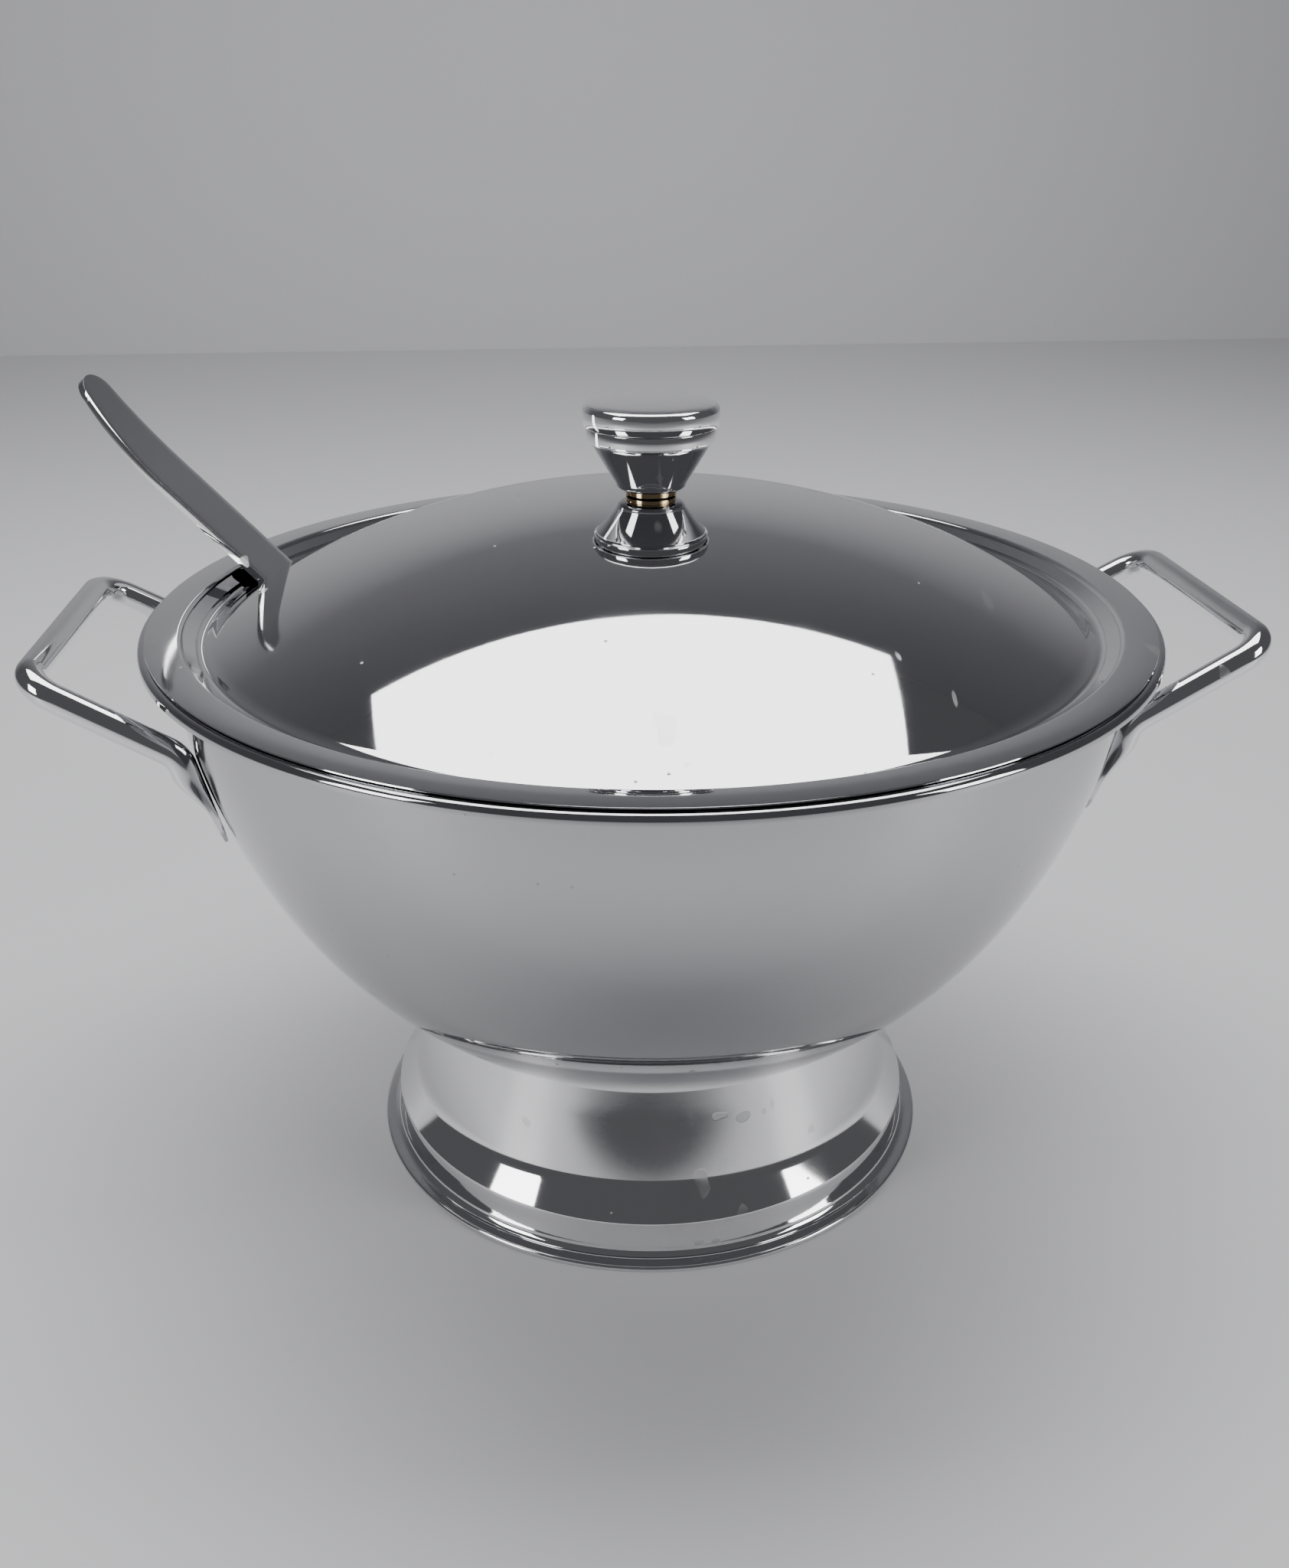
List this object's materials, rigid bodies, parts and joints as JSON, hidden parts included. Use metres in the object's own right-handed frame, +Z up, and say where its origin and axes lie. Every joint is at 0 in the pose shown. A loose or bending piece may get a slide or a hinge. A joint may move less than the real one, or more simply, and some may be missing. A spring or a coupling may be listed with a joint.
{
  "type": "soup tureen",
  "caption": "Footed round steel soup tureen with bar handles, a domed lid with a hollow knob, and a ladle that passes through a window in the lid",
  "frame": {"origin": "centre of the foot, on the surface it stands on", "axes": "+Z up along the bowl's axis, the two handles on +X and -X"},
  "size_m": [0.3564, 0.3, 0.2406],
  "materials": {
    "polished_steel": "mirror-polished stainless steel sheet",
    "bar_steel": "polished stainless steel bar",
    "ladle_steel": "polished stainless steel strip and cup",
    "screw_steel": "plain turned and stamped steel",
    "bush_brass": "plain turned brass"
  },
  "bodies": {
    "tureen": {"bowl": "polished_steel", "foot": "polished_steel", "left_handle": "bar_steel", "right_handle": "bar_steel"},
    "lid": {"lid": "polished_steel", "knob_cap": "polished_steel", "knob_body": "polished_steel", "knob_bush": "bush_brass", "lid_screw": "screw_steel", "lid_washer": "screw_steel"},
    "ladle": {"ladle_handle": "ladle_steel", "ladle_cup": "ladle_steel"}
  },
  "joints": [
    {"name": "lid_lift", "type": "slide", "parent": "tureen", "child": "lid", "axis": [0, 0, 1], "range_m": [0, 0.09]},
    {"name": "ladle_tilt", "type": "hinge", "parent": "tureen", "child": "ladle", "pos_m": [0.04186, -0.01573, 0.08756], "axis": [0.3518, 0.9361, 0], "range_deg": [0, 15.3]}
  ],
  "couplings": [
    {"joint": "ladle_tilt", "follows": "lid_lift", "rad_per_m": 2.95}
  ]
}
